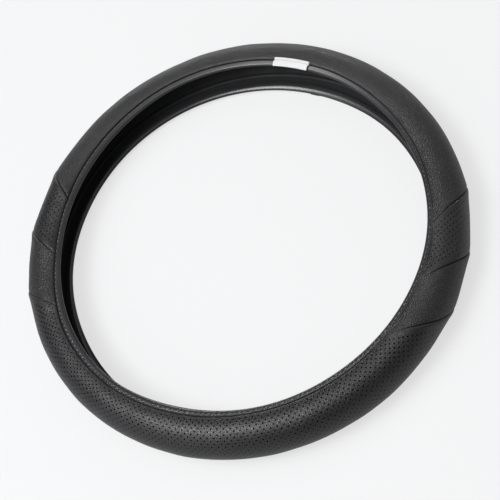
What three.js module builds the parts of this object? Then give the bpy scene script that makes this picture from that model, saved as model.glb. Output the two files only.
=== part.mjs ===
import * as THREE from 'three';

// A sewn steering wheel cover, lying on its back with its front face up.
// Millimetres and degrees. +Z is the ring's axis and points to the driver,
// +Y is the twelve o'clock side and +X the driver's right hand.

// The ring and its C-shaped section
const OUTER_DIAMETER = 385;
const SECTION_WIDTH = 40;
const SECTION_DEPTH = 45.6;
const REST_FLAT = 5.2;
const SEAM_ANGLE = 113;

// Walls, from the outside to the inside
const SKIN = 1.8;
const BAND = 1;
const BAND_SINK = 0.5;
const LINING = 2.6;
const LINING_LIP = 1.3;
const LINING_TAPER = 12;
const CLEARANCE = 0.4;

// Skin panels: where their joins start at the front seam, and how far a join
// turns round the ring on its way to the back seam
const UPPER_JOIN_ANGLE = 6.3;
const MIDDLE_JOIN_ANGLE = -11.2;
const LOWER_JOIN_ANGLE = -29.8;
const JOIN_LEAN_ANGLE = 23.6;
const JOIN_GAP = 0.35;
const JOIN_VALLEY = 1;
const JOIN_RIDGE = 0.6;
const JOIN_RIDGE_AT = 3;
const JOIN_RIDGE_END = 9;

// Rolled edges of the skin and the bands along the two seams
const SEAM_GAP = 0.5;
const EDGE_ROLL = 1.2;
const EDGE_ROLL_DROP = 0.7;

// The bands that bind the two free lips, and their stitching
const BAND_WIDTH = 6.2;
const BAND_HEM = 5;
const STITCH_INSET = 2.1;
const STITCH_GROOVE = 0.6;
const STITCH_GROOVE_WIDTH = 2;
const THREAD = 0.8;

// Ribs inside the lining that keep it from slipping on the rim
const GRIP_RIB = 0.8;
const GRIP_RIB_WIDTH = 3;
const GRIP_RIB_PITCH = 15;
const GRIP_RIBS = 5;

// The folded tab in the front seam
const TAB_CENTRE_ANGLE = 83.4;
const TAB_WIDTH = 32;
const TAB_THICKNESS = 0.7;
const TAB_ROLL = 1.2;
const TAB_ROLL_REACH = 2.6;
const TAB_CREASE = 0.6;

// Facets
const RING_STEPS = 60;
const SECTION_STEPS = 10;
const TAB_STEPS = 6;

const DEG = Math.PI / 180;
const halfWidth = SECTION_WIDTH / 2;
const halfDepth = SECTION_DEPTH / 2;
const centreRadius = OUTER_DIAMETER / 2 - halfWidth;
const meanRadius = (halfWidth + halfDepth) / 2;
const flatHalfAngle = Math.asin(REST_FLAT / 2 / halfWidth) / DEG;
const restHeight = halfDepth * Math.cos(flatHalfAngle * DEG);
const liningOuter = Math.max(SKIN, BAND_SINK + BAND) + CLEARANCE;

// A point of the section as [radius, height]. The angle runs round the section
// from its outermost point towards the front, and depth is measured inwards.
function sectionPoint(angle, depth) {
  const x = centreRadius + (halfWidth - depth) * Math.cos(angle * DEG);
  const z = (halfDepth - depth) * Math.sin(angle * DEG);
  return [x, z];
}

// Section angle at a distance past the seam, towards the free lip
function pastSeam(distance) {
  return SEAM_ANGLE + distance / meanRadius / DEG;
}

// Section angles of the skin from the back seam to the front seam. Two of them
// bound the flat that the ring rests on.
function skinAngles() {
  const end = pastSeam(-SEAM_GAP / 2);
  const start = -90 + flatHalfAngle;
  const angles = [-end, -90 - flatHalfAngle];
  for (let i = 0; i <= SECTION_STEPS; i++) {
    angles.push(start + (end - start) * i / SECTION_STEPS);
  }
  return angles;
}

function material(name, color, roughness) {
  return new THREE.MeshStandardMaterial({ name, color, roughness, metalness: 0 });
}

const grainedLeather = material('grained_leather', 0x2f3032, 0.55);
const perforatedLeather = material('perforated_leather', 0x2b2c2e, 0.5);
const bandLeather = material('band_leather', 0x232427, 0.35);
const mouldedRubber = material('moulded_rubber', 0x17181a, 0.7);
const sewingThread = material('sewing_thread', 0x55575a, 0.8);
const wovenRibbon = material('woven_ribbon', 0xf1f1ef, 0.8);

const cover = new THREE.Group();
cover.position.z = restHeight;

function addPiece(name, geometry, finish) {
  const mesh = new THREE.Mesh(geometry, finish);
  mesh.name = name;
  cover.add(mesh);
}

// A full ring turned from a closed section profile of [radius, height] points
function turnedRing(profile) {
  const points = [...profile, profile[0]].map(([x, z]) => new THREE.Vector2(x, z));
  const geometry = new THREE.LatheGeometry(points, RING_STEPS);
  geometry.rotateX(Math.PI / 2);
  return geometry;
}

// A solid through rows of points that all run the same way round its section.
// The section's plan, in 2-D, gives the triangles of the two end faces.
function loft(rows, plan) {
  const count = plan.length;
  const last = (rows.length - 1) * count;
  const index = [];
  for (let row = 0; row < rows.length - 1; row++) {
    for (let i = 0; i < count; i++) {
      const a = row * count + i;
      const b = row * count + (i + 1) % count;
      index.push(a, a + count, b, b, a + count, b + count);
    }
  }
  for (const [a, b, c] of THREE.ShapeUtils.triangulateShape(plan, [])) {
    index.push(a, b, c, last + a, last + c, last + b);
  }
  const geometry = new THREE.BufferGeometry();
  geometry.setFromPoints(rows.flat());
  geometry.setIndex(index);
  geometry.computeVertexNormals();
  return geometry;
}

function onRing([radius, height], turn) {
  return new THREE.Vector3(radius * Math.cos(turn * DEG), radius * Math.sin(turn * DEG), height);
}

// Skin panels

// How far a join has turned round the ring at a section angle, as a share of
// its lean: 0 at the front seam and 1 at the back seam
function joinShare(angle) {
  return (SEAM_ANGLE - angle) / (2 * SEAM_ANGLE);
}

// The closed profile of the skin: rolled edge, outside, rolled edge, inside.
// The skin's outside is raised or sunk next to a join, but nothing is raised
// where the ring's weight presses it level.
function skinProfile(raise) {
  const angles = skinAngles();
  const end = angles[angles.length - 1];
  const roll = EDGE_ROLL / meanRadius / DEG;
  const pressed = (angle) => Math.abs(angle + 90) < flatHalfAngle + roll;
  const outside = angles.slice(1, -1).map((angle) => {
    return [angle, pressed(angle) ? Math.max(0, -raise) : -raise];
  });
  const inside = angles.map((angle) => [angle, SKIN]).reverse();
  const backEdge = [[-end, EDGE_ROLL_DROP], [-end + roll, -raise]];
  const frontEdge = [[end - roll, -raise], [end, EDGE_ROLL_DROP]];
  return [...backEdge, ...outside, ...frontEdge, ...inside];
}

// One panel between two joins. Each join is the turn at the front seam and the
// way it leans. Rows lie close together where the turned-in allowance makes a
// valley and a ridge beside the join.
function skinPanel(from, to) {
  const turned = (distance) => distance / centreRadius / DEG;
  const frontSpan = to.turn - from.turn;
  const backSpan = frontSpan + to.lean - from.lean;
  const steps = Math.ceil(Math.max(frontSpan, backSpan) / 360 * RING_STEPS);
  const rows = [
    { share: 0, offset: JOIN_GAP / 2, raise: -JOIN_VALLEY },
    { share: 0, offset: JOIN_RIDGE_AT, raise: JOIN_RIDGE },
  ];
  for (let i = 0; i <= steps; i++) {
    const share = i / steps;
    rows.push({ share, offset: JOIN_RIDGE_END * (1 - 2 * share), raise: 0 });
  }
  rows.push({ share: 1, offset: -JOIN_RIDGE_AT, raise: JOIN_RIDGE });
  rows.push({ share: 1, offset: -JOIN_GAP / 2, raise: -JOIN_VALLEY });

  const plan = skinProfile(0).map(([angle, depth]) => new THREE.Vector2(...sectionPoint(angle, depth)));
  const placed = rows.map((row) => skinProfile(row.raise).map(([angle, depth]) => {
    const start = from.turn + from.lean * joinShare(angle);
    const end = to.turn + to.lean * joinShare(angle);
    const turn = start + (end - start) * row.share + turned(row.offset);
    return onRing(sectionPoint(angle, depth), turn);
  }));
  return loft(placed, plan);
}

const rightJoin = (turn) => ({ turn, lean: JOIN_LEAN_ANGLE });
const leftJoin = (turn) => ({ turn: 180 - turn, lean: -JOIN_LEAN_ANGLE });
const nextTurn = (join) => ({ turn: join.turn + 360, lean: join.lean });

const panels = [
  ['top_panel', rightJoin(UPPER_JOIN_ANGLE), leftJoin(UPPER_JOIN_ANGLE), grainedLeather],
  ['left_upper_panel', leftJoin(UPPER_JOIN_ANGLE), leftJoin(MIDDLE_JOIN_ANGLE), perforatedLeather],
  ['left_lower_panel', leftJoin(MIDDLE_JOIN_ANGLE), leftJoin(LOWER_JOIN_ANGLE), grainedLeather],
  ['bottom_panel', leftJoin(LOWER_JOIN_ANGLE), nextTurn(rightJoin(LOWER_JOIN_ANGLE)), perforatedLeather],
  ['right_lower_panel', rightJoin(LOWER_JOIN_ANGLE), rightJoin(MIDDLE_JOIN_ANGLE), grainedLeather],
  ['right_upper_panel', rightJoin(MIDDLE_JOIN_ANGLE), rightJoin(UPPER_JOIN_ANGLE), perforatedLeather],
];
for (const [name, from, to, finish] of panels) {
  addPiece(name, skinPanel(from, to), finish);
}

// Moulded lining

const liningLip = pastSeam(BAND_WIDTH - BAND - CLEARANCE);

// Depth of the lining's inside, which thins towards its two lips
function liningInner(angle) {
  const fromLip = (liningLip - Math.abs(angle)) * DEG * meanRadius;
  const share = THREE.MathUtils.clamp(fromLip / LINING_TAPER, 0, 1);
  return liningOuter + LINING_LIP + (LINING - LINING_LIP) * share;
}

// The inside of the lining from its back lip to its front lip, with each rib as
// a low ridge that takes the place of the plain points under it
function ribbedInside(angles) {
  const half = GRIP_RIB_WIDTH / 2 / meanRadius / DEG;
  const pitch = GRIP_RIB_PITCH / meanRadius / DEG;
  const ribs = Array.from({ length: GRIP_RIBS }, (_, i) => pitch * (i - (GRIP_RIBS - 1) / 2));
  const plain = angles.filter((angle) => ribs.every((rib) => Math.abs(angle - rib) > half));
  const points = plain.map((angle) => [angle, liningInner(angle)]);
  for (const rib of ribs) {
    points.push([rib - half, liningInner(rib - half)]);
    points.push([rib, liningInner(rib) + GRIP_RIB]);
    points.push([rib + half, liningInner(rib + half)]);
  }
  return points.sort((a, b) => a[0] - b[0]);
}

function liningProfile() {
  const angles = [-liningLip, ...skinAngles(), liningLip];
  const outside = angles.map((angle) => [angle, liningOuter]);
  const inside = ribbedInside(angles).reverse();
  return [...outside, ...inside].map(([angle, depth]) => sectionPoint(angle, depth));
}
addPiece('grip_lining', turnedRing(liningProfile()), mouldedRubber);

// Edge bands and their thread, made for the front and mirrored to the back

// The band lies over the seam, folds round the lining's lip and is turned in
function bandProfile() {
  const start = SEAM_GAP / 2;
  const lip = pastSeam(BAND_WIDTH);
  const fold = pastSeam(BAND_WIDTH - BAND);
  const hemEnd = pastSeam(BAND_WIDTH - BAND_HEM);
  const hemOuter = (angle) => liningInner(angle) + CLEARANCE;
  const grooveHalf = STITCH_GROOVE_WIDTH / 2;
  return [
    [pastSeam(start), BAND_SINK + BAND],
    [pastSeam(start), BAND_SINK + EDGE_ROLL_DROP / 2],
    [pastSeam(STITCH_INSET - grooveHalf), BAND_SINK],
    [pastSeam(STITCH_INSET), BAND_SINK + STITCH_GROOVE],
    [pastSeam(STITCH_INSET + grooveHalf), BAND_SINK],
    [pastSeam(BAND_WIDTH - EDGE_ROLL), BAND_SINK],
    [lip, BAND_SINK + EDGE_ROLL],
    [lip, hemOuter(lip)],
    [fold, hemOuter(fold) + BAND],
    [hemEnd, hemOuter(hemEnd) + BAND],
    [hemEnd, hemOuter(hemEnd)],
    [fold, hemOuter(fold)],
    [fold, BAND_SINK + BAND],
  ].map(([angle, depth]) => sectionPoint(angle, depth));
}

const threadDepth = BAND_SINK + STITCH_GROOVE - CLEARANCE - THREAD / 2;

function threadProfile() {
  const half = THREAD / 2;
  return [
    [pastSeam(STITCH_INSET - half), threadDepth],
    [pastSeam(STITCH_INSET), threadDepth - half],
    [pastSeam(STITCH_INSET + half), threadDepth],
    [pastSeam(STITCH_INSET), threadDepth + half],
  ].map(([angle, depth]) => sectionPoint(angle, depth));
}

function mirrored(profile) {
  return profile.map(([radius, height]) => [radius, -height]).reverse();
}

addPiece('front_edge_band', turnedRing(bandProfile()), bandLeather);
addPiece('back_edge_band', turnedRing(mirrored(bandProfile())), bandLeather);
addPiece('front_stitch_thread', turnedRing(threadProfile()), sewingThread);
addPiece('back_stitch_thread', turnedRing(mirrored(threadProfile())), sewingThread);

// Folded ribbon tab, bare, sewn into the front seam and lying over the band.
// Its root makes a small roll over the seam, then a crease, then the flap.

function tabProfile() {
  const under = Math.max(0, THREAD / 2 - threadDepth) + CLEARANCE;
  const over = under + TAB_THICKNESS;
  const profile = [
    [-TAB_ROLL_REACH, under],
    [0, under],
    [BAND_WIDTH - EDGE_ROLL, under],
    [BAND_WIDTH, under],
    [BAND_WIDTH, over],
    [BAND_WIDTH - EDGE_ROLL, over],
    [TAB_CREASE + TAB_THICKNESS, over],
    [TAB_CREASE, over - TAB_THICKNESS / 2],
    [0, over + TAB_ROLL / 2],
    [-TAB_ROLL_REACH / 2, over + TAB_ROLL],
    [-TAB_ROLL_REACH, over + TAB_ROLL / 2],
  ];
  return profile.map(([distance, height]) => sectionPoint(pastSeam(distance), -height)).reverse();
}

function seamTab() {
  const profile = tabProfile();
  const seamRadius = sectionPoint(SEAM_ANGLE, 0)[0];
  const halfTurn = TAB_WIDTH / 2 / seamRadius / DEG;
  const rows = [];
  for (let i = 0; i <= TAB_STEPS; i++) {
    const turn = TAB_CENTRE_ANGLE + halfTurn * (2 * i / TAB_STEPS - 1);
    rows.push(profile.map((point) => onRing(point, turn)));
  }
  return loft(rows, profile.map(([radius, height]) => new THREE.Vector2(radius, height)));
}
addPiece('seam_tab', seamTab(), wovenRibbon);

export default cover;
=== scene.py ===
"""A sewn steering wheel cover: its leather, bands, stitches, lining and tab, on a pale floor.

Everything is in metres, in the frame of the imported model. +Z is the ring's axis and points to the
driver, +Y is twelve o'clock, and the cover lies on its back on the floor at Z = 0.
"""

import logging
import math
from contextlib import contextmanager
from dataclasses import dataclass, field, replace
from enum import Enum
from typing import Iterator

import bpy
import numpy as np
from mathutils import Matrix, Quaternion, Vector


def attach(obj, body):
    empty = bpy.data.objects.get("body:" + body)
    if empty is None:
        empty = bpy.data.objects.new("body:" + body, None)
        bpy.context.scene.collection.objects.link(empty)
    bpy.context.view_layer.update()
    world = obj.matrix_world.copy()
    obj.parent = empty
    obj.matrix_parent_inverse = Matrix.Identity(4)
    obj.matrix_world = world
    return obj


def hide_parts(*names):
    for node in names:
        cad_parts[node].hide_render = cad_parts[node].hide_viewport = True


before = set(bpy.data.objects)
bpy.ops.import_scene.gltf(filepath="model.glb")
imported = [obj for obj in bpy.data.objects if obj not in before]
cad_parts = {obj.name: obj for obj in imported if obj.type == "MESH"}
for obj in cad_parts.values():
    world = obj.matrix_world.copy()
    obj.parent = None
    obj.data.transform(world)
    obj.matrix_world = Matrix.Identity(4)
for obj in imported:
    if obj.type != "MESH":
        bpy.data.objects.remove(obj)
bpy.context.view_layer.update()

MM = 0.001
BODY = "root"
LOG = logging.getLogger("wheel_cover")

# The length that one unit of a piece's UV map stands for, so that patterns are set in real sizes
PATTERN_UNIT = 100 * MM

# Corners sharper than this are creased, and the rest is shaded smooth
CREASE_ANGLE = math.radians(50)

# Radians that a wave pattern turns by in each unit, at a scale of 1
WAVE_RATE = 20
DIAGONAL_WAVE_RATE = 10 * math.sqrt(3)


class Slot(Enum):
    """The kinds of material that the pieces are made of."""

    GRAINED_LEATHER = "grained_leather"
    PERFORATED_LEATHER = "perforated_leather"
    BAND_LEATHER = "band_leather"
    MOULDED_RUBBER = "moulded_rubber"
    SEWING_THREAD = "sewing_thread"
    WOVEN_RIBBON = "woven_ribbon"


class Side(Enum):
    """The two free lips of the cover, with the sign of their section angle."""

    FRONT = 1
    BACK = -1

    @property
    def word(self) -> str:
        """The side's name in lower case, as the nodes have it."""
        return self.name.lower()


def linear(code: str) -> tuple[float, float, float, float]:
    """Turn an sRGB hex colour into a linear one.

    Args:
        code: Six hex digits after a hash sign.

    Returns:
        Linear red, green and blue, and full opacity.
    """
    parts = [int(code[i : i + 2], 16) / 255 for i in (1, 3, 5)]
    red, green, blue = (c / 12.92 if c <= 0.04045 else ((c + 0.055) / 1.055) ** 2.4 for c in parts)
    return red, green, blue, 1.0


def add_node(
    material: bpy.types.Material | bpy.types.World, kind: str, inputs: dict | None = None, **settings
) -> bpy.types.Node:
    """Add one shader node, set its properties and fill or link its inputs.

    Args:
        material: The material or world whose tree gets the node.
        kind: The node's type name.
        inputs: Values or output sockets, by the input's name or number.
        **settings: Properties of the node itself.

    Returns:
        The new node.
    """
    tree = material.node_tree
    node = tree.nodes.new(kind)
    for name, value in settings.items():
        setattr(node, name, value)
    for socket, value in (inputs or {}).items():
        if isinstance(value, bpy.types.NodeSocket):
            tree.links.new(value, node.inputs[socket])
        else:
            node.inputs[socket].default_value = value
    return node


def blank_material(name: str) -> bpy.types.Material:
    """Make a material with an empty node tree.

    Args:
        name: The material's name.

    Returns:
        The new material.
    """
    material = bpy.data.materials.new(name)
    material.use_nodes = True
    material.node_tree.nodes.clear()
    return material


@dataclass(frozen=True)
class Leather:
    """Polyurethane leather: a knitted backing with an embossed and lacquered top coat.

    The embossing gives low round pebbles with finer pores on them. The creases between pebbles
    are duller than the crowns, and painted shade makes them a darker colour. Real pebbles are
    about 1 mm wide and would not show, so they are drawn coarser and higher.
    """

    name: str
    slot: Slot
    crown_colour: str
    # The darker colour of the creases between pebbles: painted shade
    crease_shade_colour: str
    pebble: float
    pebble_height: float
    roughness: float
    crease_dullness: float = 0.14
    crown_polish: float = 0.03
    crease_width: float = 0.32
    drift_size: float = 2.5
    pore: float = 0.35 * MM
    pore_share: float = 0.35
    patch: float = 38 * MM
    patch_depth: float = 0.16

    def material(self) -> bpy.types.Material:
        """Build the leather: pebbles that drift out of line, pores on them, and faint patches.

        Returns:
            The leather's material.
        """
        material = blank_material(self.name)
        place = add_node(material, "ShaderNodeTexCoord")
        drift = add_node(
            material,
            "ShaderNodeTexNoise",
            {
                "Vector": place.outputs["UV"],
                "Scale": PATTERN_UNIT / (self.drift_size * self.pebble),
                "Detail": 1.0,
            },
        )
        nudge = add_node(
            material,
            "ShaderNodeVectorMath",
            {
                0: drift.outputs["Color"],
                1: (self.pebble / PATTERN_UNIT,) * 3,
                2: place.outputs["UV"],
            },
            operation="MULTIPLY_ADD",
        )
        cells = add_node(
            material,
            "ShaderNodeTexVoronoi",
            {"Vector": nudge.outputs["Vector"], "Scale": PATTERN_UNIT / self.pebble},
            feature="DISTANCE_TO_EDGE",
            voronoi_dimensions="2D",
        )
        crown = add_node(
            material,
            "ShaderNodeMapRange",
            {"Value": cells.outputs["Distance"], "From Min": 0.0, "From Max": self.crease_width},
            interpolation_type="SMOOTHERSTEP",
        )
        pores = add_node(
            material,
            "ShaderNodeTexNoise",
            {"Vector": place.outputs["UV"], "Scale": PATTERN_UNIT / self.pore, "Detail": 2.0},
        )
        height = add_node(
            material,
            "ShaderNodeMath",
            {0: pores.outputs["Fac"], 1: self.pore_share, 2: crown.outputs["Result"]},
            operation="MULTIPLY_ADD",
        )
        bump = add_node(
            material,
            "ShaderNodeBump",
            {"Height": height.outputs["Value"], "Distance": self.pebble_height, "Strength": 1.0},
        )
        patches = add_node(
            material,
            "ShaderNodeTexNoise",
            {"Vector": place.outputs["Object"], "Scale": 1 / self.patch, "Detail": 3.0},
        )
        shade = add_node(
            material,
            "ShaderNodeMapRange",
            {
                "Value": patches.outputs["Fac"],
                "From Min": 0.3,
                "From Max": 0.7,
                "To Min": 1 - self.patch_depth,
                "To Max": 1 + self.patch_depth,
            },
        )
        # Creases get the darker colour and crowns the lighter one: painted shade in the creases
        body = add_node(
            material,
            "ShaderNodeMix",
            {0: crown.outputs["Result"], 6: linear(self.crease_shade_colour), 7: linear(self.crown_colour)},
            data_type="RGBA",
        )
        tone = add_node(
            material,
            "ShaderNodeVectorMath",
            {0: body.outputs[2], "Scale": shade.outputs["Result"]},
            operation="SCALE",
        )
        dullness = add_node(
            material,
            "ShaderNodeMapRange",
            {
                "Value": height.outputs["Value"],
                "From Min": 0.0,
                "From Max": 1 + self.pore_share,
                "To Min": self.roughness + self.crease_dullness,
                "To Max": self.roughness - self.crown_polish,
            },
        )
        shader = add_node(
            material,
            "ShaderNodeBsdfPrincipled",
            {
                "Base Color": tone.outputs["Vector"],
                "Roughness": dullness.outputs["Result"],
                "IOR": 1.5,
                "Normal": bump.outputs["Normal"],
            },
        )
        add_node(material, "ShaderNodeOutputMaterial", {"Surface": shader.outputs["BSDF"]})
        return material


@dataclass(frozen=True)
class MouldedRubber:
    """Thermoplastic rubber, moulded in a spark-eroded tool: black, matt and finely pitted."""

    name: str = "moulded_thermoplastic_rubber"
    colour: str = "#1D1E20"
    pit: float = 0.5 * MM
    pit_depth: float = 0.04 * MM
    flow: float = 30 * MM
    glossiest: float = 0.62
    dullest: float = 0.78

    def material(self) -> bpy.types.Material:
        """Build the rubber: fine pits, and a dullness that drifts with the flow in the mould.

        Returns:
            The rubber's material.
        """
        material = blank_material(self.name)
        place = add_node(material, "ShaderNodeTexCoord")
        pits = add_node(
            material,
            "ShaderNodeTexNoise",
            {"Vector": place.outputs["Object"], "Scale": 1 / self.pit, "Detail": 2.0},
        )
        flow = add_node(
            material,
            "ShaderNodeTexNoise",
            {"Vector": place.outputs["Object"], "Scale": 1 / self.flow, "Detail": 2.0},
        )
        bump = add_node(
            material,
            "ShaderNodeBump",
            {"Height": pits.outputs["Fac"], "Distance": self.pit_depth, "Strength": 1.0},
        )
        dullness = add_node(
            material,
            "ShaderNodeMapRange",
            {
                "Value": flow.outputs["Fac"],
                "From Min": 0.3,
                "From Max": 0.7,
                "To Min": self.glossiest,
                "To Max": self.dullest,
            },
        )
        shader = add_node(
            material,
            "ShaderNodeBsdfPrincipled",
            {
                "Base Color": linear(self.colour),
                "Roughness": dullness.outputs["Result"],
                "IOR": 1.5,
                "Normal": bump.outputs["Normal"],
            },
        )
        add_node(material, "ShaderNodeOutputMaterial", {"Surface": shader.outputs["BSDF"]})
        return material


@dataclass(frozen=True)
class PolyesterThread:
    """Bonded polyester thread, three plies twisted together: dark grey with a soft gleam.

    The lit and shaded sides of the plies are painted as slanted bands of light and dark: painted
    highlight and shade. Real ones are about 0.3 mm wide and would not show, so the bands are
    drawn about as long as a stitch.
    """

    name: str = "bonded_polyester_thread"
    painted_lit_ply_colour: str = "#646466"
    painted_shaded_ply_colour: str = "#404042"
    band: float = 5.08 * MM
    ply_height: float = 0.1 * MM

    def material(self) -> bpy.types.Material:
        """Build the thread: slanted bands of painted highlight and shade on the plies.

        Returns:
            The thread's material.
        """
        material = blank_material(self.name)
        place = add_node(material, "ShaderNodeTexCoord")
        plies = add_node(
            material,
            "ShaderNodeTexWave",
            {
                "Vector": place.outputs["Object"],
                "Scale": 2 * math.pi / (DIAGONAL_WAVE_RATE * self.band),
                "Distortion": 1.0,
            },
            bands_direction="DIAGONAL",
        )
        # Light and dark bands along the twist: painted highlight and shade on the plies
        body = add_node(
            material,
            "ShaderNodeMix",
            {0: plies.outputs["Fac"], 6: linear(self.painted_shaded_ply_colour), 7: linear(self.painted_lit_ply_colour)},
            data_type="RGBA",
        )
        bump = add_node(
            material,
            "ShaderNodeBump",
            {"Height": plies.outputs["Fac"], "Distance": self.ply_height, "Strength": 0.6},
        )
        shader = add_node(
            material,
            "ShaderNodeBsdfPrincipled",
            {
                "Base Color": body.outputs[2],
                "Roughness": 0.22,
                "IOR": 1.6,
                "Normal": bump.outputs["Normal"],
            },
        )
        add_node(material, "ShaderNodeOutputMaterial", {"Surface": shader.outputs["BSDF"]})
        return material


@dataclass(frozen=True)
class WovenRibbon:
    """Woven polyester satin ribbon, heat cut: bright white with fine cross threads.

    Its real threads are about 0.12 mm apart and would not show, so they are drawn 2.4 mm apart.
    """

    name: str = "woven_polyester_ribbon"
    colour: str = "#E8E8E9"
    # The slightly darker colour of the hollows between threads: painted shade
    hollow_shade_colour: str = "#E0E0E2"
    thread: float = 2.39 * MM
    thread_height: float = 0.03 * MM

    def material(self) -> bpy.types.Material:
        """Build the ribbon: two crossed waves make its weave, with painted shade in its hollows.

        Returns:
            The ribbon's material.
        """
        material = blank_material(self.name)
        place = add_node(material, "ShaderNodeTexCoord")
        turns = 2 * math.pi * PATTERN_UNIT / (WAVE_RATE * self.thread)
        warp = add_node(
            material,
            "ShaderNodeTexWave",
            {"Vector": place.outputs["UV"], "Scale": turns},
            bands_direction="X",
        )
        weft = add_node(
            material,
            "ShaderNodeTexWave",
            {"Vector": place.outputs["UV"], "Scale": turns},
            bands_direction="Y",
        )
        weave = add_node(
            material,
            "ShaderNodeMath",
            {0: warp.outputs["Fac"], 1: weft.outputs["Fac"]},
            operation="MULTIPLY",
        )
        # The hollows of the weave get the darker colour: painted shade
        body = add_node(
            material,
            "ShaderNodeMix",
            {0: weave.outputs["Value"], 6: linear(self.hollow_shade_colour), 7: linear(self.colour)},
            data_type="RGBA",
        )
        bump = add_node(
            material,
            "ShaderNodeBump",
            {"Height": weave.outputs["Value"], "Distance": self.thread_height, "Strength": 0.6},
        )
        shader = add_node(
            material,
            "ShaderNodeBsdfPrincipled",
            {
                "Base Color": body.outputs[2],
                "Roughness": 0.6,
                "IOR": 1.5,
                "Sheen Weight": 0.3,
                "Normal": bump.outputs["Normal"],
            },
        )
        add_node(material, "ShaderNodeOutputMaterial", {"Surface": shader.outputs["BSDF"]})
        return material


GRAINED = Leather(
    name="embossed_pu_leather",
    slot=Slot.GRAINED_LEATHER,
    crown_colour="#303031",
    crease_shade_colour="#131314",
    pebble=2.0 * MM,
    pebble_height=0.14 * MM,
    roughness=0.37,
)
PERFORATED = Leather(
    name="punched_pu_leather",
    slot=Slot.PERFORATED_LEATHER,
    crown_colour="#2D2D2F",
    crease_shade_colour="#161618",
    pebble=1.6 * MM,
    pebble_height=0.08 * MM,
    roughness=0.32,
)
BAND = Leather(
    name="smooth_pu_binding",
    slot=Slot.BAND_LEATHER,
    crown_colour="#3A3A3C",
    crease_shade_colour="#262628",
    pebble=1.2 * MM,
    pebble_height=0.01 * MM,
    roughness=0.15,
)


@contextmanager
def editing(piece: bpy.types.Object, elements: str = "FACE") -> Iterator[None]:
    """Open one piece in edit mode, with its own selection kept, and close it again.

    Args:
        piece: The piece to edit.
        elements: What is selected by: VERT, EDGE or FACE.

    Yields:
        Nothing, while the piece is in edit mode.
    """
    modes = ("VERT", "EDGE", "FACE")
    bpy.ops.object.select_all(action="DESELECT")
    piece.select_set(True)
    bpy.context.view_layer.objects.active = piece
    bpy.context.tool_settings.mesh_select_mode = tuple(mode == elements for mode in modes)
    bpy.ops.object.mode_set(mode="EDIT")
    try:
        yield
    finally:
        bpy.ops.object.mode_set(mode="OBJECT")


def points_of(piece: bpy.types.Object) -> np.ndarray:
    """Read where a piece's vertices are.

    Args:
        piece: The piece to read.

    Returns:
        Rows of x, y and z.
    """
    flat = np.empty(len(piece.data.vertices) * 3)
    piece.data.vertices.foreach_get("co", flat)
    return flat.reshape(-1, 3)


def move_points(piece: bpy.types.Object, points: np.ndarray) -> None:
    """Put the piece's vertices at these rows of x, y and z."""
    piece.data.vertices.foreach_set("co", points.ravel())
    piece.data.update()


def choose(piece: bpy.types.Object, faces: np.ndarray) -> None:
    """Select some faces of a piece and nothing else.

    Args:
        piece: The piece, in object mode.
        faces: One true or false for each of its faces.
    """
    mesh = piece.data
    mesh.vertices.foreach_set("select", np.zeros(len(mesh.vertices), dtype=bool))
    mesh.edges.foreach_set("select", np.zeros(len(mesh.edges), dtype=bool))
    mesh.polygons.foreach_set("select", faces.astype(bool))


def face_centres(piece: bpy.types.Object) -> np.ndarray:
    """Find the middle of each of a piece's faces.

    Args:
        piece: The piece to read.

    Returns:
        Rows of x, y and z.
    """
    flat = np.empty(len(piece.data.polygons) * 3)
    piece.data.polygons.foreach_get("center", flat)
    return flat.reshape(-1, 3)


def cut_sheet(name: str, length: float, width: float, columns: int, rows: int) -> bpy.types.Object:
    """Lay a flat rectangle of sheet material on the bench, its middle at the origin.

    Args:
        name: The piece's name.
        length: Its size along X.
        width: Its size along Y.
        columns: Cells along X.
        rows: Cells along Y.

    Returns:
        The flat piece, facing up.
    """
    bpy.ops.object.select_all(action="DESELECT")
    bpy.ops.mesh.primitive_grid_add(x_subdivisions=columns, y_subdivisions=rows, size=1)
    sheet = bpy.context.object
    sheet.name = name
    sheet.data.name = name
    with editing(sheet):
        bpy.ops.mesh.select_all(action="SELECT")
        bpy.ops.transform.resize(value=(length, width, 1))
    return sheet


def slice_sheet(sheet: bpy.types.Object, at: tuple[float, float], normal: Vector, trim: bool) -> None:
    """Cut a flat sheet along a straight line.

    Args:
        sheet: The flat piece.
        at: A point of the line.
        normal: The line's normal, in the sheet.
        trim: Whether what lies on the normal's side is taken off.
    """
    with editing(sheet):
        bpy.ops.mesh.select_all(action="SELECT")
        bpy.ops.mesh.bisect(plane_co=(*at, 0), plane_no=normal, clear_outer=trim)


def print_pattern(sheet: bpy.types.Object) -> None:
    """Map a flat sheet's UVs to its real size, so that a grain follows the cut.

    Args:
        sheet: The flat piece.
    """
    mesh = sheet.data
    corners = np.empty(len(mesh.loops), dtype=np.int32)
    mesh.loops.foreach_get("vertex_index", corners)
    flat = points_of(sheet)[corners, :2] / PATTERN_UNIT
    mesh.uv_layers.active.data.foreach_set("uv", flat.ravel())


def thicken(sheet: bpy.types.Object, thickness: float) -> None:
    """Give a sheet its thickness, on the side that its faces don't point to.

    Args:
        sheet: The piece, one layer thick.
        thickness: How thick it becomes.
    """
    bpy.context.view_layer.objects.active = sheet
    wall = sheet.modifiers.new("thickness", "SOLIDIFY")
    wall.thickness = thickness
    wall.offset = -1
    wall.use_even_offset = False
    bpy.ops.object.modifier_apply(modifier=wall.name)


def merge_seam(piece: bpy.types.Object, reach: float = 0.01 * MM) -> None:
    """Merge vertices that meet where a turned or wrapped piece closes on itself.

    Args:
        piece: The piece to close.
        reach: How near two vertices have to be.
    """
    with editing(piece, "VERT"):
        bpy.ops.mesh.select_all(action="SELECT")
        bpy.ops.mesh.remove_doubles(threshold=reach)


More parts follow.
